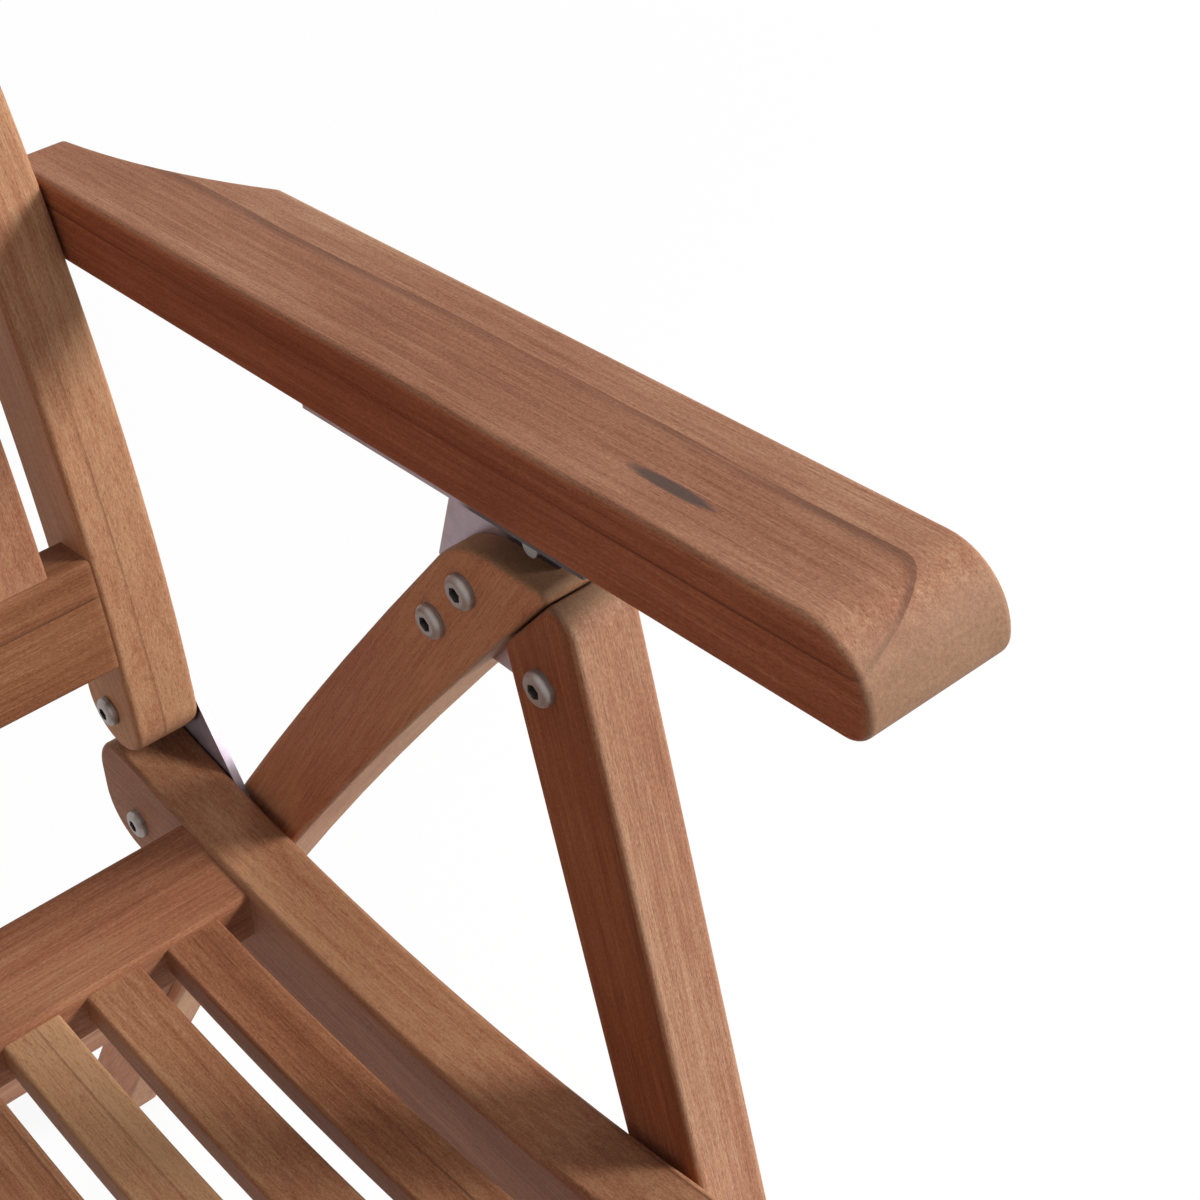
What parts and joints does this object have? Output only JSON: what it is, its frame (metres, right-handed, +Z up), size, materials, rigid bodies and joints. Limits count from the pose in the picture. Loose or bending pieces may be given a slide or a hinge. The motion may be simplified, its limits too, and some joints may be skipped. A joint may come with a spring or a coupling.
{
  "type": "reclining armchair",
  "caption": "Slatted wooden garden armchair with a scooped seat, a hinged reclining back and armrests whose notched steel racks ride on rods at the tops of the splayed legs.",
  "frame": {"origin": "on the floor under the middle of the chair's bounding box", "axes": "+Z up, -Y to the front of the seat, +X to the sitter's left"},
  "size_m": [0.5684, 0.7372, 1.0268],
  "materials": {
    "wood": "oiled, satin",
    "steel": "matt zinc-coated"
  },
  "bodies": {
    "frame": {"apex_bolts_left": "steel", "apex_bolts_right": "steel", "apex_plate_left": "steel", "apex_plate_right": "steel", "back_pivot_bolt_left": "steel", "back_pivot_bolt_right": "steel", "front_leg_left": "wood", "front_leg_right": "wood", "front_stretcher": "wood", "hinge_plate_left": "steel", "hinge_plate_right": "steel", "leg_spacer_left": "steel", "leg_spacer_right": "steel", "rear_leg_left": "wood", "rear_leg_right": "wood", "rear_stretcher": "wood", "rest_rod_left": "steel", "rest_rod_right": "steel", "seat_bolts_left": "steel", "seat_bolts_right": "steel", "seat_front_rail": "wood", "seat_rail_left": "wood", "seat_rail_right": "wood", "seat_rear_rail": "wood", "seat_slat_01": "wood", "seat_slat_02": "wood", "seat_slat_03": "wood", "seat_slat_04": "wood", "seat_slat_05": "wood", "seat_slat_06": "wood", "seat_slat_07": "wood", "seat_slat_08": "wood", "seat_slat_09": "wood", "seat_slat_10": "wood", "seat_slat_11": "wood", "seat_slat_12": "wood", "seat_slat_13": "wood"},
    "back": {"arm_pivot_bolt_left": "steel", "arm_pivot_bolt_right": "steel", "back_lower_rail": "wood", "back_slat_01": "wood", "back_slat_02": "wood", "back_slat_03": "wood", "back_slat_04": "wood", "back_slat_05": "wood", "back_slat_06": "wood", "back_slat_07": "wood", "back_stile_left": "wood", "back_stile_right": "wood", "back_top_rail": "wood"},
    "armrest_left": {"arm_left": "wood", "arm_rack_left": "steel", "rack_screws_left": "steel"},
    "armrest_right": {"arm_right": "wood", "arm_rack_right": "steel", "rack_screws_right": "steel"}
  },
  "joints": [
    {"name": "back_recline", "type": "hinge", "parent": "frame", "child": "back", "pos_m": [0, 0.09554, 0.45656], "axis": [1, 0, 0], "range_deg": [0, 18]},
    {"name": "arm_left_hinge", "type": "hinge", "parent": "back", "child": "armrest_left", "pos_m": [0.25115, 0.13883, 0.63364], "axis": [1, 0, 0], "range_deg": [-19.3, 0]},
    {"name": "arm_right_hinge", "type": "hinge", "parent": "back", "child": "armrest_right", "pos_m": [-0.25115, 0.13883, 0.63364], "axis": [1, 0, 0], "range_deg": [-19.3, 0]}
  ],
  "couplings": [
    {"joint": "arm_left_hinge", "follows": "back_recline", "ratio": -1.06},
    {"joint": "arm_right_hinge", "follows": "back_recline", "ratio": -1.06}
  ]
}
